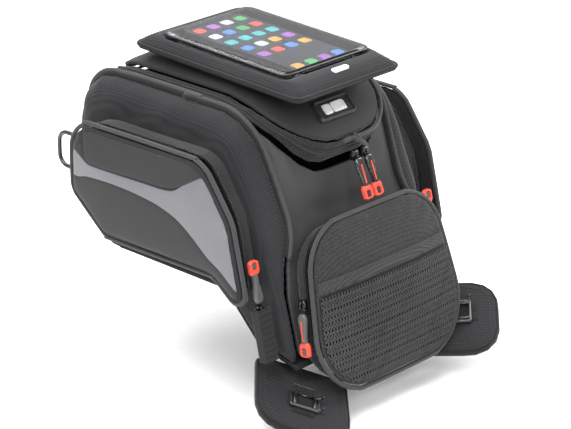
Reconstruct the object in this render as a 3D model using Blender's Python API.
"""A motorcycle tank bag: padded body on a tank-shaped base, lid with zip band and phone holder, two
side pockets, a rider-end pocket and two magnet flaps.  Metres, +Z up, the rider sits at -Y.
The origin is the middle of the flat underside that rests on the tank."""

import bpy
import bmesh
from math import acos, atan2, cos, pi, radians, sin, sqrt, tan
from mathutils import Matrix, Vector

# ---- Driving dimensions -------------------------------------------------------------------------
GAP = 0.0003                    # between pieces that touch
SEAM = 0.0020                   # from a seam line to the edge of the cloth on each side of it
CLOTH = 0.004                   # foam-backed cloth wall

# Side view of the body, as (y, z)
REAR = 0.124                    # handlebar end
TOP = 0.160                     # top seam of the side panels
REAR_RADIUS = 0.035
SHOULDER = -0.077               # where the top line meets the rider slope
SHOULDER_RADIUS = 0.050
WAIST = (-0.1205, TOP - 0.105)  # rider slope changes to the steeper pocket face
HEEL = (-0.1475, -0.046)        # lowest point of the rider end
REAR_FOOT = 0.042               # lower edge of the handlebar end
BASE_THICK = 0.005
BASE_RISE = 0.036               # the base turns up at the handlebar end
BASE_REAR_BEND = REAR - 0.036
BASE_DROP_START = -0.060        # and drops over the back of the tank at the rider end
BASE_DROP_END = -0.100
BASE_DROP = 0.040
BASE_END_Z = HEEL[1] - 0.006

# Widths
BODY_HALF = 0.098               # side panels at their widest
SEAM_HALF = BODY_HALF - 0.018   # top seams of the side panels, from the middle
SLOPE_HALF = SEAM_HALF - 0.007  # the same seams on the rider slope
HEEL_HALF = BODY_HALF - 0.006
ROLL = 0.20                     # share of a side panel that rolls from the top seam to the widest
NOSE_CROWN = 0.009

# Lid and zip band
LID_HALF = SEAM_HALF - 0.013
LID_REAR = REAR - 0.012
LID_NOSE = SHOULDER - 0.044
LID_NOSE_RADIUS = 0.052
LID_REAR_RADIUS = 0.030
LID_EDGE_Z = TOP + 0.011
LID_NOSE_DROP = 0.0355
LID_NOSE_START = -0.030
LID_REAR_DROP = 0.016
LID_REAR_START = LID_REAR - 0.037
LID_CROWN = 0.006
BAND_HALF = SEAM_HALF - 0.0025
BAND_REAR = REAR - 0.006
BAND_NOSE = SHOULDER - 0.030
BAND_REAR_RADIUS = 0.034
BAND_NOSE_RADIUS = 0.053
BAND_THICK = 0.0025
ZIP_RADIUS = 0.0014
PIPING_RADIUS = 0.0020
LID_PIPING_RADIUS = 0.0017
BADGE = (0.048, 0.022, 0.0026)

# Phone holder, a padded sleeve open at the handlebar end
HOLDER_HALF = 0.066
HOLDER_LENGTH = 0.199
HOLDER_MIDDLE = -0.019
HOLDER_BASE = LID_EDGE_Z + LID_CROWN + 0.004     # underside at its middle
HOLDER_TILT = radians(2.0)
HOLDER_THICK = 0.0155
HOLDER_PAD = 0.003
HOLDER_WALL = 0.006
HOLDER_RIM = 0.012              # binding round the window, at the sides
HOLDER_RIM_THICK = 0.0012
HOLDER_RIM_NEAR = 0.026         # and at the rider end
HOLDER_RIM_FAR = 0.024
HOLDER_MOUTH = 0.004            # the wall stops this far short of the open end
WINDOW_THICK = 0.0008
WINDOW_MARGIN = 0.003
PATCH_THICK = 0.0012
PATCH_HALF = 0.034
PATCH_LENGTH = 0.100

# Side pockets
POCKET_DEPTH = 0.032
POCKET_SPLIT = 0.016            # from the side panel to the zip
POCKET_WALL = 0.003
GARAGE_LENGTH = 0.047
POCKET_FLARE = 0.011            # the face is this much longer towards the rider than the base
POCKET_TOP = TOP - 0.033
POCKET_REAR = REAR - 0.027
POCKET_TOE = (WAIST[0] + 0.0015, 0.002)          # lowest corner, at the rider end
POCKET_CHEEK = (SHOULDER - 0.023, POCKET_TOP - 0.045)
POCKET_OUTLINE = ((POCKET_REAR, POCKET_TOP - 0.001, 0.028), (POCKET_REAR, 0.062, 0.015),
                  (POCKET_REAR - 0.042, 0.028, 0.018), (WAIST[0] + 0.0405, 0.030, 0.025),
                  (*POCKET_TOE, 0.008), (*POCKET_CHEEK, 0.040), (SHOULDER + 0.011, POCKET_TOP + 0.001, 0.030))

# Rider pocket, drawn on the rider end's lower face
RIDER_TOP_HALF = SLOPE_HALF + 0.005
RIDER_BOTTOM_HALF = HEEL_HALF + 0.005
RIDER_TOP = 0.010               # above the waist, along the face
RIDER_TAIL = 0.0314             # the pocket hangs this far below the heel, along the face
RIDER_HEIGHT = RIDER_TOP + sqrt((HEEL[0] - WAIST[0]) ** 2 + (HEEL[1] - WAIST[1]) ** 2) + RIDER_TAIL
RIDER_DEPTH = 0.028
RIDER_SPLIT = 0.014
RIDER_TOP_RADIUS = 0.044
RIDER_BOTTOM_RADIUS = 0.050
BAND_LINE = 0.044               # elastic band, below the pocket's top
BAND_HEIGHT = 0.012
RIDER_ZIP_STOP = 0.062          # where the slider rests, below the pocket's top

# Magnet flaps
FLAP_ROOT_OUTER = (BODY_HALF - 0.002, BASE_DROP_END - 0.007, BASE_END_Z)
FLAP_ROOT_INNER = (BODY_HALF - 0.052, HEEL[0] - 0.0045, BASE_END_Z - 0.026)
FLAP_LENGTH = 0.082
FLAP_THICK = 0.008
FLAP_SKIN = 0.002
FLAP_DROOP = {"left": radians(13.0), "right": radians(-9.0)}
FLAP_OUTWARD = (1.0, -0.84)              # the direction a level flap points in
FLAP_START = 0.003                       # from the seam to the flap's first edge
FLAP_WIDENING = 0.005                    # each side, from root to tip
FLAP_MIDDLE = 0.60                       # the magnet's place along the flap
MAGNET_SIZE = (0.028, 0.020)             # half length and half width
MAGNET_SLACK = 0.0004
FLAP_POINTS = 24
BUCKLE_REACH = 0.046                     # from the seam to the buckle's webbing
BUCKLE = (0.014, 0.009, 0.0035)          # half width, half length, thickness
BUCKLE_BAR = (0.003, 0.004)              # frame width, across and along
WEBBING_PIECE = (0.036, 0.020, 0.0016)

# Zip sliders and pullers
SLIDER = (0.0085, 0.010, 0.0045)         # width, length, height
PULLER = (0.0105, 0.038, 0.0028)
PULL_PIVOT = SLIDER[1] / 2 + PULLER[2] / 2 + 2 * GAP      # clear of the slider as the puller swings
PULL_LIFT = 0.001                        # the pivot's height over the slider's middle
ZIP_MEETING = 0.0105                     # where the two main sliders meet, right of the middle
SLIDER_PITCH = 0.013
BAND_SHARE = 0.62                        # the main sliders' height on the zip band
BAND_LIFT = 0.0036                       # and their underside's distance from the band
SLIDER_SEAT = 0.0012                     # the same for the side pockets' sliders
GARAGE_TALL = 0.0085
GARAGE_WALL = 0.0012
GARAGE_MARGIN = 0.0022                   # between the puller and the hood's outer side
GARAGE_MOUTH = 0.002
WIRE = 0.0022                            # half the thickness of the moulded rings
RING_Z = 0.072
RING = (0.0275, 0.036)                   # length and width
RING_TAB = 0.013
STRAP_HALF = 0.078                       # the steering-head strap, where it leaves the bag
STRAP_REACH = 0.044
STRAP_DROP = 0.022
STRAP_WIDE = 0.016
STRAP_THICK = 0.0018

SIDES = (("left", -1), ("right", 1))
CORNERS = ((-1, -1), (1, -1), (1, 1), (-1, 1))
INSIDE = Vector((0, 0, 0.08))


# ---- Scene and materials ------------------------------------------------------------------------
for leftover in list(bpy.data.objects):
    bpy.data.objects.remove(leftover, do_unlink=True)


def material(name, colour, roughness, metallic=0.0, alpha=1.0):
    made = bpy.data.materials.new(name)
    made.use_nodes = True
    shader = made.node_tree.nodes["Principled BSDF"]
    shader.inputs["Base Color"].default_value = (*colour, 1.0)
    shader.inputs["Roughness"].default_value = roughness
    shader.inputs["Metallic"].default_value = metallic
    shader.inputs["Alpha"].default_value = alpha
    return made


BODY_CLOTH = material("body_cloth", (0.05, 0.05, 0.052), 0.85)
SMOOTH_CLOTH = material("smooth_cloth", (0.075, 0.075, 0.078), 0.55)
LID_CLOTH = material("lid_cloth", (0.018, 0.018, 0.02), 0.8)
PIPING_CLOTH = material("piping_cloth", (0.08, 0.08, 0.08), 0.6)
ZIP = material("zip", (0.015, 0.015, 0.016), 0.5)
SLIDER_METAL = material("slider_metal", (0.04, 0.04, 0.045), 0.25, 0.9)
PULLER_PLASTIC = material("puller_plastic", (0.012, 0.012, 0.013), 0.25)
HARDWARE = material("hardware", (0.012, 0.012, 0.013), 0.4)
WEBBING = material("webbing", (0.02, 0.02, 0.021), 0.8)
BASE_RUBBER = material("base_rubber", (0.02, 0.02, 0.02), 0.7)
BOARD = material("board", (0.03, 0.03, 0.03), 0.5)
FOAM = material("foam", (0.06, 0.06, 0.06), 0.9)
WINDOW = material("window", (0.9, 0.92, 0.94), 0.08, 0.0, 0.3)
MAGNET = material("magnet", (0.4, 0.4, 0.42), 0.3, 1.0)
MESH_CLOTH = material("mesh_cloth", (0.05, 0.05, 0.05), 0.7)


# ---- Helpers ------------------------------------------------------------------------------------
def rounded(corners, steps=5, closed=True):
    """Points along a polygon whose (a, b, radius) corners are rounded."""
    points = []
    count = len(corners)
    for i, (a, b, radius) in enumerate(corners):
        here = Vector((a, b))
        if radius == 0 or not closed and i in (0, count - 1):
            points.append(here)
            continue
        back = (Vector(corners[i - 1][:2]) - here).normalized()
        ahead = (Vector(corners[(i + 1) % count][:2]) - here).normalized()
        half = acos(max(-1.0, min(1.0, back.dot(ahead)))) / 2
        centre = here + (back + ahead).normalized() * radius / sin(half)
        start = here + back * radius / tan(half) - centre
        turn = pi - 2 * half
        sense = -1 if back.x * ahead.y - back.y * ahead.x > 0 else 1
        for step in range(steps + 1):
            angle = sense * turn * step / steps
            points.append(centre + Matrix.Rotation(angle, 2) @ start)
    return points


def lengths_of(points):
    total = [0.0]
    for a, b in zip(points, points[1:]):
        total.append(total[-1] + (b - a).length)
    return total


def along(points, share):
    """The point at this share of a path's length."""
    total = lengths_of(points)
    target = max(0.0, min(1.0, share)) * total[-1]
    for i in range(len(points) - 1):
        if target <= total[i + 1]:
            span = total[i + 1] - total[i]
            return points[i].lerp(points[i + 1], (target - total[i]) / span)
    return points[-1].copy()


def share_near(points, target):
    """The share of a path's length that comes closest to a point."""
    best = min(range(401), key=lambda i: (along(points, i / 400) - target).length)
    return best / 400


def finish(name, bm, finish_material, origin=None, smooth=40):
    """Makes a named object from a bmesh, with its origin on its joint if it has one."""
    bmesh.ops.remove_doubles(bm, verts=bm.verts, dist=0.000001)
    bmesh.ops.recalc_face_normals(bm, faces=bm.faces)
    if bm.calc_volume(signed=True) < 0:
        bmesh.ops.reverse_faces(bm, faces=bm.faces)
    place = Vector(origin) if origin else Vector()
    bmesh.ops.translate(bm, verts=bm.verts, vec=-place)
    mesh = bpy.data.meshes.new(name)
    bm.to_mesh(mesh)
    bm.free()
    mesh.shade_smooth()
    mesh.set_sharp_from_angle(angle=radians(smooth))
    mesh.materials.append(finish_material)
    made = bpy.data.objects.new(name, mesh)
    made.location = place
    bpy.context.scene.collection.objects.link(made)
    return made


def strip(bm, first, second, closed):
    count = len(first)
    for i in range(count if closed else count - 1):
        j = (i + 1) % count
        bm.faces.new((first[i], first[j], second[j], second[i]))


def shell(name, rows, thickness, finish_material, closed=False, filled=False, inside=INSIDE):
    """A cloth wall: rows of outer points, thickened towards a point inside the bag.
    A closed shell's rows are rings, and a filled one ends in a lid across its last ring."""
    high, wide = len(rows), len(rows[0])
    inner = []
    for r in range(high):
        line = []
        for c in range(wide):
            left = rows[r][(c - 1) % wide if closed else max(c - 1, 0)]
            right = rows[r][(c + 1) % wide if closed else min(c + 1, wide - 1)]
            down = rows[max(r - 1, 0)][c]
            up = rows[min(r + 1, high - 1)][c]
            normal = (right - left).cross(up - down).normalized()
            line.append(normal)
        inner.append(line)
    middle = rows[high // 2][wide // 2]
    sign = 1 if inner[high // 2][wide // 2].dot(inside - middle) > 0 else -1
    bm = bmesh.new()
    outer_verts = [[bm.verts.new(p) for p in row] for row in rows]
    inner_verts = [
        [bm.verts.new(p + n * sign * thickness) for p, n in zip(row, normals)]
        for row, normals in zip(rows, inner)
    ]
    for grid in (outer_verts, inner_verts):
        for first, second in zip(grid, grid[1:]):
            strip(bm, first, second, closed)
        if filled:
            bm.faces.new(grid[-1])
    strip(bm, outer_verts[0], inner_verts[0], closed)
    if not filled:
        strip(bm, outer_verts[-1], inner_verts[-1], closed)
    if not closed:
        for c in (0, -1):
            strip(bm, [row[c] for row in outer_verts], [row[c] for row in inner_verts], False)
    return finish(name, bm, finish_material)


def prism(name, outline, place, finish_material, hole=None, origin=None):
    """A flat piece: an outline swept between two levels.  place(a, b, level) puts a point in the
    bag, with levels 0 and 1 as the two faces.  A hole has as many points as the outline."""
    bm = bmesh.new()
    loops = [[bm.verts.new(place(p.x, p.y, level)) for p in outline] for level in (0, 1)]
    strip(bm, loops[0], loops[1], True)
    if hole:
        holes = [[bm.verts.new(place(p.x, p.y, level)) for p in hole] for level in (0, 1)]
        strip(bm, holes[0], holes[1], True)
        for outer_loop, hole_loop in zip(loops, holes):
            strip(bm, outer_loop, hole_loop, True)
    else:
        for loop in loops:
            bm.faces.new(loop)
    return finish(name, bm, finish_material, origin)


def tray(name, back, front, back_level, front_level, wall, place, finish_material, origin=None):
    """A shallow open box: a face at front_level with a wall round it that runs back to back_level."""
    bm = bmesh.new()
    rims = (
        (back, back_level),
        (front, front_level),
        (inset(front, wall), front_level - wall),
        (inset(back, wall), back_level),
    )
    loops = [[bm.verts.new(place(p.x, p.y, level)) for p in rim] for rim, level in rims]
    strip(bm, loops[0], loops[1], True)
    strip(bm, loops[2], loops[3], True)
    strip(bm, loops[3], loops[0], True)
    bm.faces.new(loops[1])
    bm.faces.new(loops[2])
    return finish(name, bm, finish_material, origin)


def inset(outline, amount):
    """The outline moved inwards by an amount, point by point."""
    count = len(outline)
    area = sum(outline[i - 1].x * outline[i].y - outline[i].x * outline[i - 1].y for i in range(count))
    turn = 1 if area > 0 else -1
    moved = []
    for i in range(count):
        before = (outline[i] - outline[i - 1]).normalized()
        after = (outline[(i + 1) % count] - outline[i]).normalized()
        normal = Vector((-(before + after).y, (before + after).x)).normalized() * turn
        moved.append(outline[i] + normal * amount / max(0.5, normal.dot(Vector((-after.y, after.x)) * turn)))
    return moved


def cord(name, points, radius, finish_material, closed=False, sides=2):
    """A round cord along points, as a bevelled curve."""
    data = bpy.data.curves.new(name, "CURVE")
    data.dimensions = "3D"
    data.bevel_depth = radius
    data.bevel_resolution = sides
    data.use_fill_caps = not closed
    spline = data.splines.new("POLY")
    spline.points.add(len(points) - 1)
    for knot, point in zip(spline.points, points):
        knot.co = (*point, 1.0)
    spline.use_cyclic_u = closed
    data.materials.append(finish_material)
    made = bpy.data.objects.new(name, data)
    bpy.context.scene.collection.objects.link(made)
    return made


def block(name, size, matrix, finish_material, bevel=0.0008, origin=None):
    """A small moulded block with eased edges, centred on a placement matrix."""
    bm = bmesh.new()
    bmesh.ops.create_cube(bm, size=1.0)
    bmesh.ops.scale(bm, verts=bm.verts, vec=size)
    bmesh.ops.bevel(bm, geom=list(bm.edges), offset=bevel, segments=1, affect="EDGES")
    bmesh.ops.transform(bm, matrix=matrix, verts=bm.verts)
    return finish(name, bm, finish_material, origin, smooth=30)


def frame_at(place, along_x, up):
    """A placement whose X runs along one direction and whose Z leans towards another."""
    x = Vector(along_x).normalized()
    z = Vector(up) - x * Vector(up).dot(x)
    z.normalize()
    y = z.cross(x)
    return Matrix.Translation(place) @ Matrix((x, y, z)).transposed().to_4x4()


# ---- The body's curves --------------------------------------------------------------------------
PROFILE = rounded(((REAR, REAR_FOOT, 0), (REAR, TOP, REAR_RADIUS), (SHOULDER, TOP, SHOULDER_RADIUS),
                   (*WAIST, 0.030), (*HEEL, 0)), steps=8, closed=False)
BASE_LINE = rounded(((REAR, BASE_RISE, 0), (BASE_REAR_BEND, 0, 0.030), (BASE_DROP_START, 0, 0.025),
                     (BASE_DROP_END, -BASE_DROP, 0.025), (HEEL[0], BASE_END_Z, 0)), steps=5, closed=False)
BENDS = [(0.0, 0.0)] + [
    (share_near(PROFILE, Vector(top)), share_near(BASE_LINE, Vector(low)))
    for top, low in (((REAR, TOP), (BASE_REAR_BEND, 0)), ((SHOULDER, TOP), (BASE_DROP_START, 0)),
                     (WAIST, (BASE_DROP_END, -BASE_DROP)))
] + [(1.0, 1.0)]


def base_share(share):
    for (a, low_a), (b, low_b) in zip(BENDS, BENDS[1:]):
        if share <= b:
            return low_a + (low_b - low_a) * (share - a) / (b - a)
    return 1.0


def seam_half(point):
    """Half the distance between the two side seams at a point of the profile."""
    y, z = point
    if y > SHOULDER + SHOULDER_RADIUS:
        return SEAM_HALF
    if z > WAIST[1] + 0.020:
        low = WAIST[1] + 0.020
        return SLOPE_HALF + (SEAM_HALF - SLOPE_HALF) * ((z - low) / (TOP - low)) ** 1.5
    depth = min(1.0, (WAIST[1] + 0.020 - z) / 0.060)
    return SLOPE_HALF + (HEEL_HALF - SLOPE_HALF) * (3 - 2 * depth) * depth ** 2


def side_point(sign, share, level):
    """A point of a side panel: level 0 is its seam with the top, level 1 its edge on the base."""
    top = along(PROFILE, share)
    low = along(BASE_LINE, base_share(share)) + Vector((0, BASE_THICK + SEAM))
    start = seam_half(top) + SEAM
    roll = 1 - min(1.0, level / ROLL)
    half = start + (BODY_HALF - start) * sqrt(1 - roll ** 2)
    y, z = top.lerp(low, level)
    return Vector((sign * half, y, z))


def strip_point(across, share):
    """A point of the strip between the side seams; across runs from -1 to 1."""
    y, z = along(PROFILE, share)
    half = seam_half((y, z)) - SEAM
    crown = NOSE_CROWN * (1 - across ** 4) if y < SHOULDER else 0.0
    fade = max(0.0, min(1.0, (z - WAIST[1] - 0.020) / 0.030))
    return Vector((across * half, y - crown * fade, z))


def profile_z(y):
    """Height of the profile's upper side over a y."""
    best = min((i for i in range(401) if along(PROFILE, i / 400).y > WAIST[1]),
               key=lambda i: abs(along(PROFILE, i / 400).x - y))
    return along(PROFILE, best / 400).y


def lid_height(y):
    nose = max(0.0, (LID_NOSE_START - y) / (LID_NOSE_START - LID_NOSE))
    rear = max(0.0, (y - LID_REAR_START) / (LID_REAR - LID_REAR_START))
    return LID_EDGE_Z - LID_NOSE_DROP * nose ** 2 - LID_REAR_DROP * rear ** 2


CORNER_STEPS = 6
LID_OUTLINE = rounded(((LID_HALF, LID_REAR, LID_REAR_RADIUS), (-LID_HALF, LID_REAR, LID_REAR_RADIUS),
                       (-LID_HALF, LID_NOSE, LID_NOSE_RADIUS), (LID_HALF, LID_NOSE, LID_NOSE_RADIUS)), CORNER_STEPS)
BAND_OUTLINE = rounded(((BAND_HALF, BAND_REAR, BAND_REAR_RADIUS), (-BAND_HALF, BAND_REAR, BAND_REAR_RADIUS),
                        (-BAND_HALF, BAND_NOSE, BAND_NOSE_RADIUS), (BAND_HALF, BAND_NOSE, BAND_NOSE_RADIUS)),
                       CORNER_STEPS)


def filled_in(outline, extra=4):
    """Adds points to each straight stretch between an outline's rounded corners."""
    made = []
    for i, point in enumerate(outline):
        after = outline[(i + 1) % len(outline)]
        made.append(point)
        if i % (CORNER_STEPS + 1) == CORNER_STEPS:
            for step in range(1, extra + 1):
                made.append(point.lerp(after, step / (extra + 1)))
    return made


LID_OUTLINE = filled_in(LID_OUTLINE)
BAND_OUTLINE = filled_in(BAND_OUTLINE)


# ---- Body ---------------------------------------------------------------------------------------
def make_base():
    line = BASE_LINE
    rows = []
    for point in line:
        rows.append([Vector((x * (BODY_HALF - SEAM), point.x, point.y)) for x in (-1, 1)])
    bm = bmesh.new()
    low = [[bm.verts.new(p) for p in row] for row in rows]
    high = [[bm.verts.new(p + Vector((0, 0, BASE_THICK))) for p in row] for row in rows]
    for grid in (low, high):
        for first, second in zip(grid, grid[1:]):
            bm.faces.new((first[0], first[1], second[1], second[0]))
    for c in (0, 1):
        strip(bm, [row[c] for row in low], [row[c] for row in high], False)
    for r in (0, -1):
        strip(bm, low[r], high[r], False)
    finish("base_panel", bm, BASE_RUBBER)


def make_base_board():
    margin = 0.016
    outline = rounded(((BODY_HALF - margin, BASE_REAR_BEND - margin, 0.02),
                       (-(BODY_HALF - margin), BASE_REAR_BEND - margin, 0.02),
                       (-(BODY_HALF - margin), BASE_DROP_START + margin, 0.02),
                       (BODY_HALF - margin, BASE_DROP_START + margin, 0.02)), 4)
    prism("base_board", outline, lambda a, b, level: Vector((a, b, BASE_THICK + GAP + level * 0.002)), BOARD)


def make_side_panel(label, sign):
    shares = [0.015 + 0.97 * i / 26 for i in range(27)]
    levels = (0, 0.015, 0.05, 0.10, ROLL, 0.6, 1.0)
    rows = [[side_point(sign, share, level) for share in shares] for level in levels]
    shell(f"side_panel_{label}", rows, CLOTH, BODY_CLOTH)


def seam_y(x, end):
    """Where the zip band's lower seam crosses the bag, at a distance from the middle."""
    radius = BAND_NOSE_RADIUS if end < 0 else BAND_REAR_RADIUS
    over = max(0.0, min(radius, abs(x) - (BAND_HALF - radius)))
    corner = radius - sqrt(radius ** 2 - over ** 2)
    return end + corner if end < 0 else end - corner


def seam_z(x, y):
    """Height of the body's surface at the zip band's lower seam."""
    crown = NOSE_CROWN * (1 - (x / BAND_HALF) ** 4) if y < SHOULDER else 0.0
    return profile_z(y + crown)


def end_panel(name, end, last, finish_material, columns=15, rows_count=9):
    """The strip from the zip band's seam down one end of the body."""
    rows = [[] for _ in range(rows_count)]
    clearance = (SEAM + GAP) / lengths_of(PROFILE)[-1] * (1 if end < 0 else -1)
    for c in range(columns):
        across = sin(pi * (c / (columns - 1) - 0.5))
        x = across * (BAND_HALF - SEAM)
        y = seam_y(x, end)
        first = share_near(PROFILE, Vector((y, seam_z(x, y)))) + clearance
        for r in range(rows_count):
            rows[r].append(strip_point(across, first + (last - first) * r / (rows_count - 1)))
    shell(name, rows, CLOTH, finish_material)


def make_zip_band():
    rows = []
    for level in (0, 0.33, 0.67, 1):
        row = []
        for low, high in zip(BAND_OUTLINE, LID_OUTLINE):
            bottom = Vector((low.x, low.y, seam_z(low.x, low.y) + SEAM))
            top = Vector((high.x, high.y, lid_height(high.y) - CLOTH - 3 * GAP))
            row.append(bottom.lerp(top, level))
        rows.append(row)
    shell("zip_band", rows, BAND_THICK, LID_CLOTH, closed=True)
    # The zip itself runs round the nose and both sides, and stops short of the lid's hinge.
    path = []
    first = 2 * CORNER_STEPS + 2
    for i in range(first, len(BAND_OUTLINE) - 2):
        middle = (rows[1][i] + rows[2][i]) / 2
        path.append(middle + surface_normal(rows, i) * (ZIP_RADIUS + 2 * GAP))
    cord("main_zip_coil", path, ZIP_RADIUS, ZIP)


def surface_normal(rows, i):
    count = len(rows[0])
    across = rows[1][(i + 1) % count] - rows[1][i - 1]
    normal = across.cross(rows[2][i] - rows[1][i]).normalized()
    away = rows[1][i] - Vector((0, 0, 0.10))
    return normal if normal.dot(away) > 0 else -normal


def make_main_piping(label, sign):
    points = []
    shares = [0.02 + 0.80 * i / 40 for i in range(41)]
    centre = Vector((0, 0.06))
    for share in shares:
        here = along(PROFILE, share)
        tangent = along(PROFILE, min(1, share + 0.004)) - along(PROFILE, max(0, share - 0.004))
        out = Vector((tangent.y, -tangent.x)).normalized()
        if out.dot(here - centre) < 0:
            out = -out
        half = seam_half(here)
        here = here + out * (PIPING_RADIUS + 3 * GAP)
        points.append(Vector((sign * (half + 0.0005), here.x, here.y)))
    cord(f"main_piping_{label}", points, PIPING_RADIUS, PIPING_CLOTH)


make_base()
make_base_board()
for label, sign in SIDES:
    make_side_panel(label, sign)
    make_main_piping(label, sign)
end_panel("rider_panel", BAND_NOSE, 0.985, SMOOTH_CLOTH)
end_panel("handlebar_panel", BAND_REAR, 0.004, BODY_CLOTH)
make_zip_band()


# ---- Lid ----------------------------------------------------------------------------------------
LID_PIVOT = (0, LID_REAR + 0.004, lid_height(LID_REAR) - 0.003)


def lid_point(ring, outline_point):
    middle = Vector((0, (LID_REAR + LID_NOSE) / 2))
    plan = middle.lerp(outline_point, ring)
    return Vector((plan.x, plan.y, lid_height(plan.y) + LID_CROWN * (1 - ring ** 2)))


def make_lid():
    rows = [[lid_point(ring, point) for point in LID_OUTLINE] for ring in (1, 0.94, 0.8, 0.6, 0.35, 0.1)]
    panel = shell("lid_panel", rows, CLOTH, LID_CLOTH, closed=True, filled=True)
    panel.location = LID_PIVOT
    panel.data.transform(Matrix.Translation(-Vector(LID_PIVOT)))
    edge = inset(LID_OUTLINE, -(LID_PIPING_RADIUS + 3 * GAP))
    cord("lid_piping", [Vector((p.x, p.y, lid_height(p.y) - 0.0012)) for p in edge], LID_PIPING_RADIUS,
         PIPING_CLOTH, True)


def make_badge():
    y = (LID_NOSE + LID_NOSE_START) / 2 - 0.025
    step = 0.002
    slope = (lid_height(y + step) - lid_height(y - step)) / (2 * step)
    middle = (LID_REAR + LID_NOSE) / 2
    ring = (middle - y) / (middle - LID_NOSE)
    height = lid_height(y) + LID_CROWN * (1 - ring ** 2)
    matrix = frame_at((0, y, height + BADGE[2]), (1, 0, 0), (0, -slope, 1))
    block("lid_badge", BADGE, matrix, HARDWARE, 0.0010)


make_lid()
make_badge()


# ---- Phone holder -------------------------------------------------------------------------------
def holder_place(x, y, z):
    turned = Matrix.Rotation(HOLDER_TILT, 3, "X") @ Vector((x, y, z))
    return turned + Vector((0, HOLDER_MIDDLE, HOLDER_BASE))


def holder_outline(half, near, far, radius=0.008):
    return rounded(((half, far, radius), (-half, far, radius), (-half, near, radius), (half, near, radius)), 4)


def make_holder():
    far = HOLDER_LENGTH / 2
    outer = holder_outline(HOLDER_HALF, -far, far)
    prism("holder_back", outer, lambda a, b, level: holder_place(a, b, level * HOLDER_PAD), BODY_CLOTH)
    # The side wall is open at the handlebar end, where the phone slides in.
    wall_low = HOLDER_PAD + GAP
    wall_high = HOLDER_THICK - WINDOW_THICK - HOLDER_RIM_THICK - 2 * GAP
    inner = HOLDER_HALF - HOLDER_WALL
    mouth = far - HOLDER_MOUTH
    wall = [Vector(p) for p in (
        (-HOLDER_HALF, mouth), (-HOLDER_HALF, -far), (HOLDER_HALF, -far), (HOLDER_HALF, mouth),
        (inner, mouth), (inner, -far + HOLDER_WALL), (-inner, -far + HOLDER_WALL), (-inner, mouth))]
    prism("holder_wall", wall, lambda a, b, level: holder_place(a, b, wall_low + level * (wall_high - wall_low)),
          BODY_CLOTH)
    window = holder_outline(HOLDER_HALF - WINDOW_MARGIN, -far + WINDOW_MARGIN, far - HOLDER_MOUTH)
    window_low = wall_high + GAP
    prism("holder_window", window,
          lambda a, b, level: holder_place(a, b, window_low + level * WINDOW_THICK), WINDOW)
    rim_low = window_low + WINDOW_THICK + GAP
    hole = holder_outline(HOLDER_HALF - HOLDER_RIM, -far + HOLDER_RIM_NEAR, far - HOLDER_RIM_FAR)
    prism("holder_rim", outer, lambda a, b, level: holder_place(a, b, rim_low + level * HOLDER_RIM_THICK),
          BODY_CLOTH, hole=hole)
    patch = holder_outline(PATCH_HALF, -PATCH_LENGTH / 2, PATCH_LENGTH / 2, 0.004)
    prism("holder_loop_patch", patch,
          lambda a, b, level: holder_place(a, b, -GAP - level * PATCH_THICK), WEBBING)


def make_hook_patch():
    """The patch on the lid, just under the holder's own patch."""
    patch = holder_outline(PATCH_HALF, -PATCH_LENGTH / 2, PATCH_LENGTH / 2, 0.004)
    top = -2 * GAP - PATCH_THICK
    prism("holder_hook_patch", patch,
          lambda a, b, level: holder_place(a, b, top - level * PATCH_THICK), WEBBING)


make_holder()
make_hook_patch()


# ---- Side pockets -------------------------------------------------------------------------------
FACE_OUTLINE = rounded(POCKET_OUTLINE, 4)


def pocket_outline(depth):
    """The pocket's outline at a depth from the side panel: it grows towards the rider as it comes out."""
    short = POCKET_FLARE * (1 - depth / POCKET_DEPTH)
    back = POCKET_REAR - 0.057
    made = []
    for p in FACE_OUTLINE:
        share = max(0.0, min(1.0, (back - p.x) / (back - POCKET_TOE[0])))
        made.append(Vector((p.x + short * share, p.y)))
    return made


POCKET_FLOOR = min(p.y for p in FACE_OUTLINE)


def make_side_pocket(label, sign):
    def place(a, b, level):
        return Vector((sign * (BODY_HALF + level), a, b))

    start = 2 * GAP
    base, split = pocket_outline(start), pocket_outline(POCKET_SPLIT)
    bm = bmesh.new()
    rims = ((base, start), (split, POCKET_SPLIT), (inset(split, POCKET_WALL), POCKET_SPLIT),
            (inset(base, POCKET_WALL), start))
    loops = [[bm.verts.new(place(p.x, p.y, level)) for p in rim] for rim, level in rims]
    for i in range(4):
        strip(bm, loops[i], loops[(i + 1) % 4], True)
    finish(f"side_pocket_gusset_{label}", bm, BODY_CLOTH)
    hinge = (sign * (BODY_HALF + (POCKET_SPLIT + POCKET_DEPTH) / 2), 0, POCKET_FLOOR - POCKET_WALL)
    front = pocket_outline(POCKET_DEPTH)
    tray(f"side_pocket_cover_{label}", pocket_outline(POCKET_SPLIT + 2 * GAP), front,
         POCKET_SPLIT + 2 * GAP, POCKET_DEPTH, POCKET_WALL, place, BODY_CLOTH, hinge)
    edge = inset(front, -(PIPING_RADIUS + 2 * GAP))
    cord(f"side_pocket_piping_{label}",
         [place(p.x, p.y, POCKET_DEPTH - PIPING_RADIUS) for p in edge], PIPING_RADIUS, PIPING_CLOTH, True)


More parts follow.
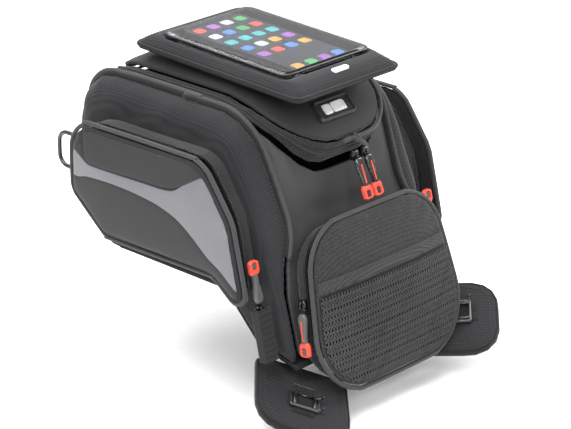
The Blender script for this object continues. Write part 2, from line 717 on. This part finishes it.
def make_side_zip_pull(label, sign):
    """Slider at the rider end of the side pocket's zip, its puller pointing up, in a cloth garage."""
    lower, upper = Vector(POCKET_TOE), Vector(POCKET_CHEEK)
    run = (upper - lower).normalized()
    out = Vector((-run.y, run.x))
    depth = BODY_HALF + POCKET_SPLIT
    flare = POCKET_FLARE * (1 - POCKET_SPLIT / POCKET_DEPTH)
    start = lower + run * PULL_LIFT + out * (SLIDER[2] / 2 + SLIDER_SEAT) + Vector((flare * 0.35, 0))
    direction = Vector((0, run.x, run.y))
    outward = Vector((0, out.x, out.y))
    centre = Vector((sign * depth, start.x, start.y))
    block(f"side_pocket_slider_{label}", (SLIDER[1], SLIDER[0], SLIDER[2]),
          frame_at(centre, direction, outward), SLIDER_METAL, origin=centre)
    pivot = centre + direction * PULL_PIVOT + outward * PULL_LIFT
    middle = pivot + direction * (PULLER[1] / 2) + outward * PULL_LIFT
    block(f"side_pocket_puller_{label}", (PULLER[1], PULLER[0], PULLER[2]),
          frame_at(middle, direction, outward), PULLER_PLASTIC, origin=pivot)
    # The garage: a cloth hood round the slider, open upwards and towards the zip.
    wide, tall, wall, foot = PULLER[0] / 2 + GARAGE_MARGIN, GARAGE_TALL, GARAGE_WALL, -PULL_LIFT
    hood = [Vector(p) for p in ((-wide, foot), (-wide, tall), (wide, tall), (wide, foot),
                                (wide - wall, foot), (wide - wall, tall - wall),
                                (-wide + wall, tall - wall), (-wide + wall, foot))]
    base_at = centre - outward * (SLIDER[2] / 2)
    prism(f"side_pocket_garage_{label}", hood,
          lambda a, b, level: (base_at + Vector((a, 0, 0)) + outward * b
                               + direction * (GARAGE_MOUTH - level * GARAGE_LENGTH)),
          BODY_CLOTH)


for label, sign in SIDES:
    make_side_pocket(label, sign)
    make_side_zip_pull(label, sign)


# ---- Rider pocket -------------------------------------------------------------------------------
FACE_DOWN = (Vector((0, *HEEL)) - Vector((0, *WAIST))).normalized()
FACE_OUT = Vector((0, FACE_DOWN.z, -FACE_DOWN.y))
RIDER_ORIGIN = Vector((0, *WAIST)) - FACE_DOWN * RIDER_TOP


def rider_place(across, down, out):
    return RIDER_ORIGIN + Vector((across, 0, 0)) + FACE_DOWN * down + FACE_OUT * out


RIDER_OUTLINE = rounded(((-RIDER_TOP_HALF, 0, RIDER_TOP_RADIUS), (RIDER_TOP_HALF, 0, RIDER_TOP_RADIUS),
                         (RIDER_BOTTOM_HALF, RIDER_HEIGHT, RIDER_BOTTOM_RADIUS),
                         (-RIDER_BOTTOM_HALF, RIDER_HEIGHT, RIDER_BOTTOM_RADIUS)), 6)


def make_rider_pocket():
    start = 0.0022
    base, split = inset(RIDER_OUTLINE, 0.005), inset(RIDER_OUTLINE, 0.0025)
    bm = bmesh.new()
    rims = ((base, start), (split, RIDER_SPLIT), (inset(split, POCKET_WALL), RIDER_SPLIT),
            (inset(base, POCKET_WALL), start))
    loops = [[bm.verts.new(rider_place(p.x, p.y, level)) for p in rim] for rim, level in rims]
    for i in range(4):
        strip(bm, loops[i], loops[(i + 1) % 4], True)
    finish("rider_pocket_gusset", bm, BODY_CLOTH)
    hinge = rider_place(0, RIDER_HEIGHT + POCKET_WALL, (RIDER_SPLIT + RIDER_DEPTH) / 2)
    tray("rider_pocket_cover", inset(RIDER_OUTLINE, 0.0024), RIDER_OUTLINE, RIDER_SPLIT + 2 * GAP,
         RIDER_DEPTH, POCKET_WALL, rider_place, BODY_CLOTH, hinge)
    edge = inset(RIDER_OUTLINE, -(PIPING_RADIUS + GAP))
    cord("rider_pocket_piping", [rider_place(p.x, p.y, RIDER_DEPTH - PIPING_RADIUS) for p in edge],
         PIPING_RADIUS, PIPING_CLOTH, True)


def make_mesh_pocket():
    """Mesh over the lower face, sewn round its edge, with an elastic band along its open top."""
    lower = [p for p in inset(RIDER_OUTLINE, 0.003) if p.y > BAND_LINE + BAND_HEIGHT]
    top = BAND_LINE + BAND_HEIGHT
    widening = (RIDER_BOTTOM_HALF - RIDER_TOP_HALF) / RIDER_HEIGHT
    half = RIDER_TOP_HALF + widening * BAND_LINE - POCKET_WALL
    lower = sorted(lower, key=lambda p: atan2(p.x, p.y - top))
    outline = [Vector((-half, top))] + lower + [Vector((half, top))]
    stand = RIDER_DEPTH + GAP
    prism("rider_mesh", outline, lambda a, b, level: rider_place(a, b, stand + level * 0.0010), MESH_CLOTH)
    band = [Vector(p) for p in ((-half, BAND_LINE), (half, BAND_LINE), (half, top - GAP), (-half, top - GAP))]
    prism("rider_mesh_band", band, lambda a, b, level: rider_place(a, b, stand + level * 0.0016), WEBBING)


def make_rider_zip_pull():
    down = RIDER_ZIP_STOP
    slope = (RIDER_BOTTOM_HALF - RIDER_TOP_HALF) / RIDER_HEIGHT
    wall = RIDER_TOP_HALF + slope * down
    run = Vector((-slope, 0, 0)) + FACE_DOWN
    run.normalize()
    outward = (Vector((-1, 0, 0)) - run * Vector((-1, 0, 0)).dot(run)).normalized()
    centre = rider_place(-wall, down, RIDER_SPLIT) + outward * (SLIDER[2] / 2 + 0.0008)
    block("rider_pocket_slider", (SLIDER[1], SLIDER[0], SLIDER[2]), frame_at(centre, run, outward),
          SLIDER_METAL, origin=centre)
    pivot = centre + run * PULL_PIVOT + outward * PULL_LIFT
    middle = pivot + run * (PULLER[1] / 2) + outward * PULL_LIFT
    block("rider_pocket_puller", (PULLER[1], PULLER[0], PULLER[2]), frame_at(middle, run, outward),
          PULLER_PLASTIC, origin=pivot)


make_rider_pocket()
make_mesh_pocket()
make_rider_zip_pull()


# ---- Main zip sliders ---------------------------------------------------------------------------
def make_main_zip_pulls():
    low = Vector((0, BAND_NOSE, profile_z(BAND_NOSE) + SEAM))
    high = Vector((0, LID_NOSE, lid_height(LID_NOSE) - CLOTH))
    lean = (high - low).normalized()
    outward = Vector((0, -lean.z, lean.y))
    middle = low.lerp(high, BAND_SHARE) + outward * (BAND_LIFT + SLIDER[2] / 2)
    fall = (Vector((0, *WAIST)) - Vector((0, SHOULDER, TOP))).normalized()
    away = Vector((0, fall.z, -fall.y))
    for label, x in (("left", ZIP_MEETING - SLIDER_PITCH / 2), ("right", ZIP_MEETING + SLIDER_PITCH / 2)):
        centre = Vector((x, middle.y, middle.z))
        block(f"main_slider_{label}", SLIDER, frame_at(centre, (1, 0, 0), outward), SLIDER_METAL, origin=centre)
        pivot = centre - lean * (SLIDER[1] / 2 - 0.004) + outward * (SLIDER[2] / 2 + 0.002)
        hang = pivot + fall * (PULLER[1] / 2 - PULL_LIFT) + away * PULL_LIFT
        block(f"main_puller_{label}", PULLER, frame_at(hang, (1, 0, 0), away), PULLER_PLASTIC, origin=pivot)


make_main_zip_pulls()


# ---- Magnet flaps -------------------------------------------------------------------------------
def make_flap(label, sign):
    """A padded flap with a magnet inside, hinged along the seam where it joins the base."""
    outer = Vector((sign * FLAP_ROOT_OUTER[0], *FLAP_ROOT_OUTER[1:]))
    inner = Vector((sign * FLAP_ROOT_INNER[0], *FLAP_ROOT_INNER[1:]))
    root = (inner - outer).normalized()
    width = (inner - outer).length
    level_out = Vector((sign * FLAP_OUTWARD[0], FLAP_OUTWARD[1], 0.0))
    reach = (level_out - root * level_out.dot(root)).normalized()
    turn = Matrix.Rotation(-sign * FLAP_DROOP[label], 3, root)
    reach = turn @ reach
    normal = reach.cross(root).normalized()
    if normal.z < 0:
        normal = -normal

    def place(low, high):
        return lambda a, b, level: outer + root * a + reach * b + normal * (low + level * (high - low))

    shape = rounded(((-0.006, FLAP_START, 0.004), (width + 0.004, FLAP_START, 0.004),
                     (width + 2 * FLAP_WIDENING, FLAP_LENGTH, 0.026), (-0.004, FLAP_LENGTH, 0.026)), 5)
    half = FLAP_THICK / 2
    middle = Vector((width / 2, FLAP_LENGTH * FLAP_MIDDLE))
    turns = [2 * pi * i / FLAP_POINTS for i in range(FLAP_POINTS)]
    long, wide = MAGNET_SIZE
    magnet = [middle + Vector((long * cos(a), wide * sin(a))) for a in turns]
    slack = MAGNET_SLACK
    slot = [middle + Vector(((long + slack) * cos(a), (wide + slack) * sin(a))) for a in turns]
    shape = match_count(shape, FLAP_POINTS, middle)
    prism(f"flap_base_{label}", shape, place(-half, -half + FLAP_SKIN), BASE_RUBBER, origin=outer)
    prism(f"flap_padding_{label}", shape, place(-half + FLAP_SKIN + GAP, half - FLAP_SKIN - GAP),
          FOAM, hole=slot, origin=outer)
    prism(f"flap_magnet_{label}", magnet, place(-half + FLAP_SKIN + GAP, half - FLAP_SKIN - GAP),
          MAGNET, origin=outer)
    prism(f"flap_cover_{label}", shape, place(half - FLAP_SKIN, half), BODY_CLOTH, origin=outer)
    make_flap_buckle(label, outer, root, reach, normal, width, half)


def match_count(shape, count, middle):
    """Points of a convex outline at even angles round a middle point."""
    made = []
    for i in range(count):
        angle = 2 * pi * i / count
        ray = Vector((cos(angle), sin(angle)))
        for a, b in zip(shape, shape[1:] + shape[:1]):
            edge = b - a
            cross = ray.x * edge.y - ray.y * edge.x
            if abs(cross) < 1e-12:
                continue
            toward = a - middle
            far = (toward.x * edge.y - toward.y * edge.x) / cross
            share = (toward.x * ray.y - toward.y * ray.x) / cross
            if far > 0 and -1e-9 <= share <= 1 + 1e-9:
                made.append(middle + ray * far)
                break
    return made


def make_flap_buckle(label, outer, root, reach, normal, width, half):
    """Webbing and a ladder buckle on the flap, for the carrying strap."""
    centre = outer + root * (width / 2) + reach * BUCKLE_REACH
    matrix = frame_at(centre + normal * (half + GAP + 0.0009), reach, normal)
    block(f"flap_webbing_{label}", WEBBING_PIECE, matrix, WEBBING, 0.0004)
    across, along_reach, thick = BUCKLE
    outline = [Vector((a * across, b * along_reach)) for a, b in CORNERS]
    hole = [Vector((a * (across - BUCKLE_BAR[0]), b * (along_reach - BUCKLE_BAR[1]))) for a, b in CORNERS]
    lift = half + 2 * GAP + 0.0020
    middle = centre + reach * 0.004
    prism(f"flap_buckle_{label}", outline,
          lambda a, b, level: middle + root * a + reach * b + normal * (lift + level * thick), HARDWARE, hole=hole)


for label, sign in SIDES:
    make_flap(label, sign)


# ---- Handlebar end: rings and strap -------------------------------------------------------------
def make_ring(label, sign):
    """A moulded ring on a webbing tab that is sewn into the seam beside the piping."""
    near = SEAM_HALF + PIPING_RADIUS + 0.0015
    thick = 0.0035
    tab_start, tab_end, tab_half = REAR + 2 * GAP, REAR + RING_TAB, RING[1] / 3
    outline = [Vector(p) for p in ((tab_start, -tab_half), (tab_end, -tab_half), (tab_end, tab_half),
                                   (tab_start, tab_half))]
    prism(f"ring_tab_{label}", outline,
          lambda a, b, level: Vector((sign * (near + level * thick), a, RING_Z + b)), WEBBING)
    bar = 0.0015
    pivot = Vector((sign * (near + thick / 2), tab_end + bar + 0.0017, RING_Z))
    half = RING[1] / 2
    outer = rounded(((-bar, -half, 0.003), (RING[0] - bar, -half, 0.012), (RING[0] - bar, half, 0.012),
                     (-bar, half, 0.003)), 4)
    prism(f"ring_{label}", outer,
          lambda a, b, level: Vector((pivot.x + (level - 0.5) * 2 * WIRE, pivot.y + a, RING_Z + b)),
          HARDWARE, hole=inset(outer, WIRE * 1.3), origin=pivot)


def make_front_strap():
    """Adjustable strap from both lower corners of the handlebar end, that goes round the steering head."""
    bends = 16
    points = []
    for step in range(bends + 1):
        angle = pi * step / bends
        points.append(Vector((STRAP_HALF * cos(angle), REAR + 2 * GAP + STRAP_REACH * sin(angle) ** 0.8,
                              BASE_RISE - STRAP_WIDE / 2 - STRAP_DROP * sin(angle))))
    rows = [[p + Vector((0, 0, level * STRAP_WIDE)) for p in points] for level in (0, 1)]
    shell("front_strap", rows, STRAP_THICK, WEBBING, inside=Vector((0, REAR, REAR_FOOT)))
    centre = points[13] + Vector((0, 0, STRAP_WIDE / 2))
    ahead = (points[14] - points[12]).normalized()
    side = ahead.cross(Vector((0, 0, 1))).normalized()
    side = side if side.y > 0 else -side
    centre += side * (2 * GAP)
    frame, slot, tall = 0.009, 0.005, STRAP_WIDE / 2 + 0.004
    outline = [Vector(p) for p in ((-frame, -tall), (frame, -tall), (frame, tall), (-frame, tall))]
    hole = inset(outline, frame - slot)
    prism("front_strap_buckle", outline,
          lambda a, b, level: centre + ahead * a + Vector((0, 0, b)) + side * (level * 0.003), HARDWARE, hole=hole)


for label, sign in SIDES:
    make_ring(label, sign)
make_front_strap()
